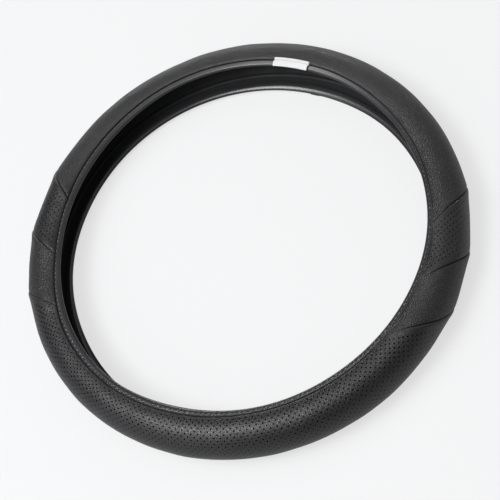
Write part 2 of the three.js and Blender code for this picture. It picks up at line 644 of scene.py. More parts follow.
def smooth(piece: bpy.types.Object) -> None:
    """Shade a piece smooth up to its creases.

    Args:
        piece: The piece to shade.
    """
    bpy.ops.object.select_all(action="DESELECT")
    piece.select_set(True)
    bpy.context.view_layer.objects.active = piece
    bpy.ops.object.shade_smooth_by_angle(angle=CREASE_ANGLE)


def hand_over(piece: bpy.types.Object, material: bpy.types.Material, node: str) -> None:
    """Dress a finished piece, and let it ride and stand for its solid.

    Args:
        piece: The finished piece.
        material: Its material.
        node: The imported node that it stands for.
    """
    piece.data.materials.clear()
    piece.data.materials.append(material)
    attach(piece, BODY)
    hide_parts(node)
    LOG.info("%s stands for %s: %d vertices", piece.name, node, len(piece.data.vertices))


def rolled_edge(distance: np.ndarray, radius: float, drop: float) -> np.ndarray:
    """How far leather falls away where its edge is rolled under.

    Args:
        distance: Distance from the edge.
        radius: Where the roll starts.
        drop: How far the edge itself lies below the surface.

    Returns:
        The fall, a quarter of an ellipse, and 0 past the radius.
    """
    near = 1 - np.clip(distance / radius, 0, 1)
    return drop * (1 - np.sqrt(1 - near**2))


def swelling(distance: np.ndarray, crest: float, height: float) -> np.ndarray:
    """A ridge that starts at 0, is highest at its crest and dies away slowly."""
    share = np.maximum(distance, 0) / crest
    return height * share * np.exp(1 - share)


def bulge(distance: np.ndarray, reach: float, height: float) -> np.ndarray:
    """A round lump with this reach and height."""
    return height * np.exp(-((distance / reach) ** 2))


def glide(points: tuple[np.ndarray, ...], share: np.ndarray | float) -> np.ndarray:
    """Follow a smooth curve from the second of four points to the third.

    Args:
        points: Four points in a row.
        share: How far along the curve, from 0 to 1.

    Returns:
        The place on the curve.
    """
    before, here, there, after = points
    bend = 2 * before - 5 * here + 4 * there - after
    twist = 3 * here - before - 3 * there + after
    return here + 0.5 * ((there - before) * share + bend * share**2 + twist * share**3)


@dataclass(frozen=True)
class HandFit:
    """How this cover came to lie when it was pulled on and laced by hand.

    Each list goes round the ring in equal steps from three o'clock. A slide is how far a seam or
    a lip lies past its plain place, towards the channel. A stand is how far a lip stands off.
    The lips are too stiff to follow the section, so each stands off a little all round.
    """

    front_seam_slide: tuple[float, ...] = (
        *(-1.3, 0.9, 1.5, -0.6, -1.9, -1.7, 0.7, 2.1),
        *(2.4, -2.2, -2.6, -0.7, 0.7, 0.6, -0.6),
    )
    front_lip_slide: tuple[float, ...] = (
        *(-0.8, 0.4, 0.6, -1.0, -2.5, -2.2, 0.8, 2.3),
        *(2.2, 0.0, -1.2, 3.2, 1.9, 2.4, 0.8),
    )
    front_lip_stand: tuple[float, ...] = (0.2, 0, 0, 0, 0, 0, 0, 0, 0, 0, 0.2, 0.5, 0.8, 1.0, 0.6)
    back_lip_stand: tuple[float, ...] = (
        *(0.2, 0.8, 1.2, 2.8, 1.8, 0.7, 0.1, 0.0),
        *(-0.6, 1.4, 1.4, 0.5, 0.0, 0.0, 0.0),
    )
    stiffness: float = 0.9 * MM
    start: float = math.radians(60)
    seam_pull: float = 0.25 * MM
    lower_pull: float = 0.2 * MM
    lower_turn: float = math.radians(278)

    def tension(self, turn: np.ndarray) -> np.ndarray:
        """Return how tight the lacing is, from 0 over the top to 1 round the bottom."""
        return np.clip(np.cos(turn - self.lower_turn), 0, 1)

    def pull(self, turn: np.ndarray) -> np.ndarray:
        """Return how far the seams are drawn in."""
        return self.seam_pull + self.lower_pull * self.tension(turn)

    def round_ring(self, turn: np.ndarray, values: tuple[float, ...]) -> np.ndarray:
        """Follow a smooth curve through values at equal steps round the ring.

        Args:
            turn: Turns round the ring.
            values: The values in millimetres, from three o'clock.

        Returns:
            The lengths at those turns.
        """
        knots = np.array(values) * MM
        place = np.mod(turn / (2 * math.pi), 1) * len(knots)
        number = np.floor(place).astype(int)
        points = tuple(knots[(number + step) % len(knots)] for step in (-1, 0, 1, 2))
        return glide(points, place - number)

    def slide(self, turn: np.ndarray, angle: np.ndarray, seam: float, lip: float) -> np.ndarray:
        """Return how far the leather lies past its plain place at these places.

        Args:
            turn: Turns round the ring.
            angle: Plain angles round the section.
            seam: Angle of the seam.
            lip: Angle of the lip.

        Returns:
            The slide over the leather, which is 0 on the back.
        """
        rise = np.clip((angle - self.start) / (seam - self.start), 0, 1)
        past = np.clip((angle - seam) / (lip - seam), 0, 1)
        at_seam = self.round_ring(turn, self.front_seam_slide)
        at_lip = self.round_ring(turn, self.front_lip_slide)
        return rise**2 * (3 - 2 * rise) * (at_seam + past * (at_lip - at_seam))

    def stand(self, turn: np.ndarray, angle: np.ndarray, seam: float, lip: float) -> np.ndarray:
        """Return how far the lips stand off the plain section at these places.

        Args:
            turn: Turns round the ring.
            angle: Plain angles round the section.
            seam: Angle of the seam.
            lip: Angle of the lip.

        Returns:
            The stand, which is 0 between the seams.
        """
        past = np.clip((np.abs(angle) - seam) / (lip - seam), 0, 1)
        front = self.round_ring(turn, self.front_lip_stand)
        back = self.round_ring(turn, self.back_lip_stand)
        return past**2 * (self.stiffness + np.where(angle > 0, front, back))


@dataclass(frozen=True)
class Ring:
    """The ring, its C-shaped section and the coordinates on its leather.

    A place on the cover is its turn round the ring from three o'clock, its angle round the
    section from the outermost point towards the front, and its depth under the leather.
    """

    outer_diameter: float = 385 * MM
    section_width: float = 40 * MM
    section_depth: float = 45.6 * MM
    rest_flat: float = 5.2 * MM
    seam_angle: float = math.radians(113)
    seam_gap: float = 0.5 * MM
    lip: float = 6.2 * MM
    fit: HandFit = HandFit()

    @property
    def half_width(self) -> float:
        """Half the section's width."""
        return self.section_width / 2

    @property
    def half_depth(self) -> float:
        """Half the section's depth."""
        return self.section_depth / 2

    @property
    def centre_radius(self) -> float:
        """Radius of the circle through the middle of the section."""
        return self.outer_diameter / 2 - self.half_width

    @property
    def mean_radius(self) -> float:
        """Mean radius of the section itself."""
        return (self.half_width + self.half_depth) / 2

    @property
    def rest_height(self) -> float:
        """Height of the ring's middle above the floor."""
        return self.half_depth * math.cos(math.asin(self.rest_flat / 2 / self.half_width))

    @property
    def seam_arc(self) -> float:
        """Distance over the leather from its outermost point to a seam."""
        return self.seam_angle * self.mean_radius

    def past_seam(self, distance: np.ndarray | float) -> np.ndarray | float:
        """Return the section angle at a distance past the seam, towards the lip."""
        return self.seam_angle + distance / self.mean_radius

    def place(self, turn: np.ndarray, angle: np.ndarray, depth: np.ndarray | float) -> np.ndarray:
        """Return points of the cover, none of them below the floor.

        Args:
            turn: Turns round the ring.
            angle: Angles round the section.
            depth: Depths under the leather.

        Returns:
            Rows of x, y and z.
        """
        edges = (self.seam_angle, self.past_seam(self.lip))
        depth = depth - self.fit.stand(turn, angle, *edges)
        angle = angle + self.fit.slide(turn, angle, *edges) / self.mean_radius
        radius = self.radius(angle, depth)
        height = self.rest_height + (self.half_depth - depth) * np.sin(angle)
        return np.stack(
            [radius * np.cos(turn), radius * np.sin(turn), np.maximum(height, 0)], axis=-1
        )

    def radius(self, angle: np.ndarray | float, depth: np.ndarray | float) -> np.ndarray | float:
        """Return the distance from the ring's axis at an angle round the section and a depth."""
        return self.centre_radius + (self.half_width - depth) * np.cos(angle)


RING = Ring()


@dataclass(frozen=True)
class Join:
    """A join between two panels, which leans round the ring from the front seam to the back.

    Near a seam the pull of the lacing flattens its valley, to this share of its depth.
    """

    turn: float
    lean: float
    near_seam: float = 0.65
    sway_size: float = 0.16 * MM
    sway_reach: float = 8 * MM
    long_sway: float = 3.7 * MM
    short_sway: float = 1.9 * MM

    @property
    def slope(self) -> float:
        """How far the join runs along the ring for each metre towards the front."""
        return -RING.centre_radius * self.lean / (2 * RING.seam_arc)

    def along(self, across: np.ndarray | float) -> np.ndarray | float:
        """Return the join's place along the ring, at a place across the leather."""
        return RING.centre_radius * (self.turn + self.lean / 2) + self.slope * across

    def distance(self, along: np.ndarray, across: np.ndarray) -> np.ndarray:
        """Return the distance from the join over the leather, positive past it."""
        return (along - self.along(across)) * math.cos(math.atan(self.slope))

    @property
    def normal(self) -> Vector:
        """The direction over the flat leather that leads past the join."""
        return Vector((1, -self.slope, 0)).normalized()

    def sway(self, along: np.ndarray, across: np.ndarray) -> np.ndarray:
        """Find how far the sewing strays along the ring, alike on both sides of the join.

        Args:
            along: Places along the ring.
            across: Places across the leather.

        Returns:
            The strays, which die away on both sides of the join.
        """
        near = bulge(self.distance(along, across), self.sway_reach, self.sway_size)
        wave = np.sin(across / self.long_sway + 9 * self.turn)
        wave += 0.8 * np.sin(across / self.short_sway + self.turn)
        return near * wave

    def at(self, offset: float, middle: float) -> tuple[float, float]:
        """Return a point beside the join on a sheet whose middle is this far round the ring."""
        normal = self.normal
        return self.along(0.0) - middle + normal.x * offset, normal.y * offset


def right_join(degrees: float, lean: float) -> Join:
    """Return a join on the right, from its turn at the front seam and its lean in degrees."""
    return Join(math.radians(degrees), math.radians(lean), near_seam=0.1)


def left_join(degrees: float, lean: float) -> Join:
    """Return the mirror of a right join."""
    return Join(math.radians(180 - degrees), math.radians(-lean))


# Turn at the front seam and lean of each join, from the top down
RIGHT_JOINS = ((4.6, 25.6), (-12.7, 24.2), (-30.7, 27.8))
LEFT_JOINS = ((8.5, 23.2), (-10.7, 25.6), (-28.5, 24.0))


@dataclass(frozen=True)
class Unevenness:
    """The slight waviness of leather that is pulled over a padded ring by hand."""

    seed: int = 11
    # How often each wave runs round the ring and round the section, and its height
    waves: tuple[tuple[int, int, float], ...] = (
        (4, 1, 0.13 * MM),
        (9, 2, 0.10 * MM),
        (13, -2, 0.08 * MM),
        (22, 3, 0.06 * MM),
        (31, -4, 0.05 * MM),
        (47, 5, 0.03 * MM),
    )
    puckers: tuple[int, ...] = (41, 58, 83, 109)
    pucker: float = 0.055 * MM
    pucker_reach: float = 7 * MM

    def height(self, turn: np.ndarray, angle: np.ndarray) -> np.ndarray:
        """Add up the waves.

        Args:
            turn: Turns round the ring.
            angle: Angles round the section.

        Returns:
            How far the leather stands proud there.
        """
        phases = np.random.default_rng(self.seed).uniform(0, 2 * math.pi, len(self.waves))
        total = np.zeros_like(turn)
        for (round_ring, round_section, size), phase in zip(self.waves, phases):
            total += size * np.sin(round_ring * turn + round_section * angle + phase)
        return total

    def gathers(self, turn: np.ndarray, from_edge: np.ndarray) -> np.ndarray:
        """Add up the small puckers that the stitches pull into the leather beside its edge.

        Args:
            turn: Turns round the ring.
            from_edge: Distances from the edge.

        Returns:
            How far the leather stands proud there.
        """
        phases = np.random.default_rng(self.seed + 1).uniform(0, 2 * math.pi, len(self.puckers))
        total = np.zeros_like(turn)
        for round_ring, phase in zip(self.puckers, phases):
            total += np.sin(round_ring * turn + phase)
        return self.pucker * total * bulge(from_edge, self.pucker_reach, 1.0)


UNEVENNESS = Unevenness()


@dataclass(frozen=True)
class SkinPanel:
    """One leather panel: cut flat, punched where it is perforated, and wrapped round the ring.

    The leather on the lower side of a join covers the turned-in allowances, so it stands
    higher there than on the upper side.
    """

    node: str
    start: Join
    end: Join
    finish: Leather
    cell: float = 2.62 * MM
    thickness: float = 1.8 * MM

    # Beside a join: the swell over the allowances, the rolled edge and the broad shoulder
    join_gap: float = 0.25 * MM
    join_roll: float = 1.1 * MM
    join_drop: float = 0.75 * MM
    join_fade: float = 24 * MM
    start_swell: float = 0.3 * MM
    end_swell: float = 0.3 * MM
    swell_crest: float = 1.9 * MM
    shoulder: float = 0.6 * MM
    shoulder_reach: float = 11 * MM

    # The lump where the allowances of a join are sewn into a seam
    lump: float = 0.35 * MM
    lump_reach: float = 4.5 * MM

    # Beside a seam: the rolled edge, the swell, and what the tight lacing adds to them
    seam_roll: float = 1.0 * MM
    seam_drop: float = 0.65 * MM
    seam_swell: float = 0.28 * MM
    seam_pull_reach: float = 3.6 * MM
    tight_drop: float = 0.8 * MM
    tight_gap: float = 0.5 * MM

    # Holes, and the share of their size that is left at these distances from the outermost line
    hole: float = 1.35 * MM
    tight_holes: tuple[tuple[float, float, float], ...] = (
        (0, 12 * MM, 0.62),
        (12 * MM, 20 * MM, 0.8),
        (20 * MM, 50 * MM, 1.0),
    )
    margin: float = 3.3 * MM

    # Distances in millimetres from a join and a seam at which the leather gets a loop
    join_loops: tuple[float, ...] = (0.1, 0.25, 0.5, 0.8, 1.2, 1.8, 2.6)
    seam_loops: tuple[float, ...] = (0.1, 0.3, 0.6, 0.95, 1.4, 2.1)

    @property
    def edge(self) -> float:
        """Distance from the middle of the leather to its edge at a seam."""
        return RING.seam_arc - RING.seam_gap / 2

    @property
    def span(self) -> tuple[float, float]:
        """Least and greatest place along the ring that the panel reaches."""
        ends = [join.along(side * self.edge) for join in (self.start, self.end) for side in (1, -1)]
        return min(ends), max(ends)

    @property
    def middle(self) -> float:
        """The middle of the panel's reach along the ring."""
        return sum(self.span) / 2

    @property
    def flat_size(self) -> tuple[float, float]:
        """Width and length of the rectangle that the panel is cut from."""
        low, high = self.span
        return 2 * self.edge, high - low

    @property
    def flat_area(self) -> float:
        """Area of the flat cut."""
        return 2 * self.edge * (self.end.along(0.0) - self.start.along(0.0))

    @property
    def perforated(self) -> bool:
        """Whether the panel is punched."""
        return self.finish.slot is Slot.PERFORATED_LEATHER

    def edges(
        self, along: np.ndarray, across: np.ndarray
    ) -> tuple[np.ndarray, np.ndarray, np.ndarray]:
        """Measure how far places on the leather are from its edges.

        Args:
            along: Places along the ring.
            across: Places across the leather.

        Returns:
            The distances from the start join's edge, the end join's edge and the seams.
        """
        past_start = self.start.distance(along, across) - self.join_gap / 2
        before_end = -self.end.distance(along, across) - self.join_gap / 2
        return past_start, before_end, self.edge - np.abs(across)

    def build(self, material: bpy.types.Material) -> bpy.types.Object:
        """Make the panel and dress it.

        Args:
            material: The leather's material.

        Returns:
            The finished piece.
        """
        width, length = self.flat_size
        rows = round(width / self.cell)
        columns = math.ceil(length / self.cell)
        panel = cut_sheet(f"{self.node}_leather", columns * self.cell, width, columns, rows)
        if self.perforated:
            self.punch(panel)
        self.trim(panel)
        print_pattern(panel)
        thicken(panel, self.thickness)
        self.wrap(panel)
        smooth(panel)
        hand_over(panel, material, self.node)
        self.flat_size
        self.flat_area
        return panel

    def punch(self, panel: bpy.types.Object) -> None:
        """Punch staggered rows of round holes, clear of the joins and the seams.

        The holes are drawn tight where the leather is pulled over the outside of the ring.

        Args:
            panel: The flat panel, still a plain grid.
        """
        corner = face_centres(panel).min(axis=0)
        row_height = self.flat_size[0] / round(self.flat_size[0] / self.cell)
        for low, high, share in self.tight_holes:
            hole = self.hole * share
            centres = face_centres(panel)
            from_edge = np.min(self.edges(centres[:, 0] + self.middle, centres[:, 1]), axis=0)
            column = np.rint((centres[:, 0] - corner[0]) / self.cell)
            row = np.rint((centres[:, 1] - corner[1]) / row_height)
            height = np.abs(row * row_height + corner[1])
            clear = (from_edge > self.margin) & (low <= height) & (height < high)
            choose(panel, clear & ((column + row) % 2 == 0))
            with editing(panel):
                bpy.ops.mesh.inset(thickness=(self.cell - hole) / 2, use_individual=True)
                bpy.ops.mesh.bevel(
                    offset=hole * (1 - math.sqrt(0.5)), affect="VERTICES", clamp_overlap=True
                )
        counts = np.array([len(face.vertices) for face in panel.data.polygons])
        areas = np.array([face.area for face in panel.data.polygons])
        choose(panel, (counts == 8) & (areas < self.hole**2))
        with editing(panel):
            bpy.ops.mesh.delete(type="FACE")

    def trim(self, panel: bpy.types.Object) -> None:
        """Cut the leather along its joins, and add loops where its edges will be rolled.

        Args:
            panel: The flat panel.
        """
        half_gap = self.join_gap / 2
        for join, way in ((self.start, 1), (self.end, -1)):
            outward = join.normal * -way
            slice_sheet(panel, join.at(way * half_gap, self.middle), outward, trim=True)
            for distance in self.join_loops:
                offset = way * (half_gap + distance * MM)
                slice_sheet(panel, join.at(offset, self.middle), outward, trim=False)
        for distance in self.seam_loops:
            for side in (1, -1):
                at = (0, side * (self.edge - distance * MM))
                slice_sheet(panel, at, Vector((0, side, 0)), trim=False)

    def relief(self, along: np.ndarray, across: np.ndarray) -> np.ndarray:
        """Shape the leather's face.

        Args:
            along: Places along the ring.
            across: Places across the leather.

        Returns:
            How far the face stands proud of the plain section there.
        """
        past_start, before_end, from_seam = self.edges(along, across)
        turn = along / RING.centre_radius
        height = UNEVENNESS.height(turn, across / RING.mean_radius)
        height += UNEVENNESS.gathers(turn, from_seam)
        tight = RING.fit.tension(turn)
        loose = 1 - tight
        height += loose * swelling(from_seam, self.swell_crest, self.seam_swell)
        height -= RING.fit.pull(turn) * np.exp(-from_seam / self.seam_pull_reach)
        inward = np.clip(from_seam / self.join_fade, 0, 1) ** 2
        for join, distance, swell in (
            (self.start, past_start, self.start_swell),
            (self.end, before_end, self.end_swell),
        ):
            height += bulge(distance, self.shoulder_reach, self.shoulder)
            height += bulge(np.hypot(distance, from_seam), self.lump_reach, self.lump)
            relief = swelling(distance, self.swell_crest, swell)
            relief -= rolled_edge(distance, self.join_roll, self.join_drop)
            height += relief * (join.near_seam + (1 - join.near_seam) * inward)
        drop = self.seam_drop + self.tight_drop * tight
        return height - rolled_edge(from_seam, self.seam_roll, drop)

    def wrap(self, panel: bpy.types.Object) -> None:
        """Pull the flat leather round the ring, its edges drawn back where the lacing is tight.

        Its relief dies out towards its backing.

        Args:
            panel: The flat panel with its thickness.
        """
        flat = points_of(panel)
        along = flat[:, 0] + self.middle
        across = flat[:, 1]
        depth = -flat[:, 2]
        facing = 1 - depth / self.thickness
        depth = depth - facing * self.relief(along, across)
        strayed = along + self.start.sway(along, across) + self.end.sway(along, across)
        turn = strayed / RING.centre_radius
        drawn = across * (1 - self.tight_gap / self.edge * RING.fit.tension(turn))
        move_points(panel, RING.place(turn, drawn / RING.mean_radius, depth))


@dataclass(frozen=True)
class EdgeBand:
    """The strip that binds one lip: it lies beside the seam, folds round the lip and is turned in."""

    side: Side
    lap_turn: float = math.radians(78.3)
    lap: float = 0.0
    lap_length: float = 9 * MM
    lap_ramp: float = 1.2 * MM
    sink: float = 0.5 * MM
    thickness: float = 1 * MM
    lip: float = RING.lip
    fold_radius: float = 2.2 * MM
    hem_end: float = 1.2 * MM
    hem_slope: float = 0.12
    edge_roll: float = 0.9 * MM
    edge_drop: float = 0.3 * MM
    groove: float = 0.35 * MM
    groove_reach: float = 0.75 * MM
    pocket: float = 0.45 * MM
    rows: int = 32

    @property
    def outside(self) -> float:
        """Length of the strip from its edge at the seam to the fold."""
        return self.lip - self.fold_radius - RING.seam_gap / 2

    @property
    def width(self) -> float:
        """Width of the strip before it was folded."""
        inside = self.lip - self.fold_radius - self.hem_end
        return self.outside + math.pi * self.fold_radius + inside

    def path(self, run: np.ndarray) -> tuple[np.ndarray, np.ndarray]:
        """Follow the strip's outer face from the seam over the lip and in.

        Args:
            run: Distances along the strip's width.

        Returns:
            The distance past the seam and the depth, at each of them.
        """
        bend = np.clip((run - self.outside) / self.fold_radius, 0, math.pi)
        inner_run = np.maximum(run - self.outside - math.pi * self.fold_radius, 0)
        start = RING.seam_gap / 2
        past = start + np.minimum(run, self.outside) + self.fold_radius * np.sin(bend) - inner_run
        depth = self.sink + self.fold_radius * (1 - np.cos(bend)) + self.hem_slope * inner_run
        return past, depth

    def build(self, material: bpy.types.Material, stitches: "StitchRow") -> bpy.types.Object:
        """Make the band and dress it.

        Args:
            material: The band's material.
            stitches: The row of stitches that presses into the band.

        Returns:
            The finished piece.
        """
        length = 2 * math.pi * RING.centre_radius
        columns = stitches.count * stitches.columns
        band = cut_sheet(f"{self.side.word}_band_strip", length, self.width, columns, self.rows)
        print_pattern(band)
        self.fold(band, stitches)
        merge_seam(band)
        if self.side is Side.BACK:
            with editing(band):
                bpy.ops.mesh.select_all(action="SELECT")
                bpy.ops.mesh.flip_normals()
        thicken(band, self.thickness)
        smooth(band)
        hand_over(band, material, f"{self.side.word}_edge_band")
        return band

    def fold(self, band: bpy.types.Object, stitches: "StitchRow") -> None:
        """Bend the flat strip into its ring, round the lip, with its stitched groove.

        Args:
            band: The flat strip.
            stitches: The row of stitches that presses into it.
        """
        flat = points_of(band)
        turn = flat[:, 0] / RING.centre_radius + math.pi
        run = flat[:, 1] + self.width / 2
        past, depth = self.path(run)
        outer = run < self.outside + self.fold_radius
        depth += rolled_edge(run, self.edge_roll, self.edge_drop)
        from_row = run + RING.seam_gap / 2 - stitches.past_seam(turn)
        pressed = bulge(from_row, self.groove_reach, 1.0) * stitches.boldness(turn)
        depth += pressed * (self.groove + self.pocket * stitches.pocket(turn))
        from_lap = np.abs(turn - self.lap_turn) * RING.centre_radius
        lap = self.lap * np.clip((self.lap_length / 2 - from_lap) / self.lap_ramp + 0.5, 0, 1)
        depth -= np.where(outer, lap, 0)
        angle = self.side.value * RING.past_seam(past)
        move_points(band, RING.place(turn, angle, depth))


@dataclass(frozen=True)
class StitchRow:
    """A row of lock stitches in the groove of a band.

    Each dives into the needle holes at its ends. One is drawn out of a ball, whose two
    fullnesses are powers that keep its ends blunt and its body stout.
    """

    side: Side
    count: int = 233
    columns: int = 4
    inset: float = 1.75 * MM
    stray: float = 0.9 * MM
    stray_turn: float = math.radians(330)
    top_boldness: float = 0.1
    top_sink: float = 0.45 * MM
    depth: float = 0.45 * MM
    thread: float = 0.8 * MM
    length: float = 3.3 * MM
    dive: float = 0.75 * MM
    slant: float = 0.16
    slant_spread: float = 0.07
    lift_spread: float = 0.06 * MM
    end_fullness: float = 0.75
    body_fullness: float = 0.45
    pole: float = 0.01
    seed: int = 5
    sides: int = 8
    rings: int = 7

    @property
    def step(self) -> float:
        """Distance from stitch to stitch on the flat strip."""
        return 2 * math.pi * RING.centre_radius / self.count

    def past_seam(self, turn: np.ndarray) -> np.ndarray:
        """Return the row's distance past the seam, which strays round the ring."""
        return self.inset + self.stray * np.cos(turn - self.stray_turn)

    def boldness(self, turn: np.ndarray) -> np.ndarray:
        """Return how far the stitches show: sunk out of sight over the top, bold at the bottom."""
        height = (1 + np.sin(turn)) / 2
        return 1 - (1 - self.top_boldness) * height

    def pocket(self, turn: np.ndarray) -> np.ndarray:
        """Return how deep the needle hole is at each turn, from 0 to 1."""
        phase = turn * self.count / (2 * math.pi)
        return np.maximum(np.cos(2 * math.pi * phase), 0)

    def build(self, material: bpy.types.Material) -> bpy.types.Object:
        """Make one stitch, copy it round the ring and dress the row.

        Args:
            material: The thread's material.

        Returns:
            The finished piece.
        """
        bpy.ops.object.select_all(action="DESELECT")
        bpy.ops.mesh.primitive_uv_sphere_add(segments=self.sides, ring_count=self.rings, radius=1)
        row = bpy.context.object
        row.name = f"{self.side.word}_stitch_row"
        row.data.name = row.name
        self.shape(row)
        copies = row.modifiers.new("copies", "ARRAY")
        copies.count = self.count
        copies.use_relative_offset = False
        copies.use_constant_offset = True
        copies.constant_offset_displace = (self.step, 0, 0)
        bpy.ops.object.modifier_apply(modifier=copies.name)
        self.sew(row)
        with editing(row):
            bpy.ops.mesh.select_all(action="SELECT")
            bpy.ops.mesh.normals_make_consistent(inside=False)
        smooth(row)
        hand_over(row, material, f"{self.side.word}_stitch_thread")
        return row

    def shape(self, stitch: bpy.types.Object) -> None:
        """Draw a ball out along X into one stitch that arches over the flat leather.

        Args:
            stitch: A ball with a radius of 1, its poles on Z.
        """
        ball = points_of(stitch)
        share = np.sign(ball[:, 2]) * np.abs(ball[:, 2]) ** self.end_fullness
        girth = np.hypot(ball[:, 0], ball[:, 1])
        stout = np.maximum(girth, self.pole) ** -self.body_fullness
        slim = np.where(girth > self.pole, stout, 0)
        along = share * self.length / 2
        across = ball[:, 0] * slim * self.thread / 2
        raised = ball[:, 1] * slim * self.thread / 2 - self.dive * share**2
        move_points(stitch, np.stack([along, across, raised], axis=-1))

    def sew(self, row: bpy.types.Object) -> None:
        """Slant each stitch a little differently and lay the flat row into its groove.

        Args:
            row: The stitches in a straight row, the first at the origin.
        """
        flat = points_of(row)
        draw = np.random.default_rng(self.seed + self.side.value)
        number = np.clip(np.rint(flat[:, 0] / self.step), 0, self.count - 1).astype(int)
        slants = draw.normal(self.slant, self.slant_spread, self.count)[number]
        lifts = draw.normal(0, self.lift_spread, self.count)[number]
        from_middle = flat[:, 0] - number * self.step
        turn = (flat[:, 0] + self.step / 2) / RING.centre_radius
        past = self.past_seam(turn) + flat[:, 1] + from_middle * slants
        angle = self.side.value * RING.past_seam(past)
        sunk = self.top_sink * (1 - self.boldness(turn))
        move_points(row, RING.place(turn, angle, self.depth + sunk - flat[:, 2] - lifts))


@dataclass(frozen=True)
class LiningRing:
    """The moulded rubber ring inside the leather, with ribs that keep it from slipping."""

    outer_depth: float = 2.2 * MM
    wall: float = 2.6 * MM
    lip_wall: float = 1.3 * MM
    taper: float = 12 * MM
    lip: float = 4.8 * MM
    rib: float = 0.8 * MM
    rib_width: float = 3 * MM
    rib_pitch: float = 15 * MM
    ribs: int = 5
    profile_points: int = 110
    ring_steps: int = 240

    def inner_depth(self, across: np.ndarray) -> np.ndarray:
        """Find the depth of the inside, which thins to the lips and has rounded ribs.

        Args:
            across: Places across the lining.

        Returns:
            Their depths under the leather.
        """
        from_lip = RING.seam_arc + self.lip - np.abs(across)
        share = np.clip(from_lip / self.taper, 0, 1)
        depth = self.outer_depth + self.lip_wall + (self.wall - self.lip_wall) * share
        for number in range(self.ribs):
            from_rib = across - self.rib_pitch * (number - (self.ribs - 1) / 2)
            swell = np.clip(1 - (2 * from_rib / self.rib_width) ** 2, 0, 1)
            depth += self.rib * np.sqrt(swell)
        return depth

    def profile(self) -> tuple[np.ndarray, np.ndarray]:
        """Draw the closed profile: outside, lip, inside, lip.

        Returns:
            The angles round the section and the depths of its points.
        """
        reach = RING.seam_arc + self.lip
        outer = np.linspace(-reach, reach, self.profile_points // 3)
        inner = np.linspace(reach, -reach, self.profile_points - len(outer))
        across = np.concatenate([outer, inner])
        depth = np.concatenate([np.full(len(outer), self.outer_depth), self.inner_depth(inner)])
        return across / RING.mean_radius, depth

    def build(self, material: bpy.types.Material) -> bpy.types.Object:
        """Turn the lining from its profile and dress it.

        Args:
            material: The rubber's material.

        Returns:
            The finished piece.
        """
        bpy.ops.object.select_all(action="DESELECT")
        bpy.ops.mesh.primitive_circle_add(vertices=self.profile_points, radius=1)
        lining = bpy.context.object
        lining.name = "lining_ring"
        lining.data.name = lining.name
        angle, depth = self.profile()
        move_points(lining, RING.place(np.zeros_like(angle), angle, depth))
        with editing(lining, "VERT"):
            bpy.ops.mesh.select_all(action="SELECT")
            bpy.ops.mesh.spin(
                steps=self.ring_steps, angle=2 * math.pi, center=(0, 0, 0), axis=(0, 0, 1)
            )
        merge_seam(lining)
        with editing(lining):
            bpy.ops.mesh.select_all(action="SELECT")
            bpy.ops.mesh.normals_make_consistent(inside=False)
        smooth(lining)
        hand_over(lining, material, "grip_lining")
        return lining


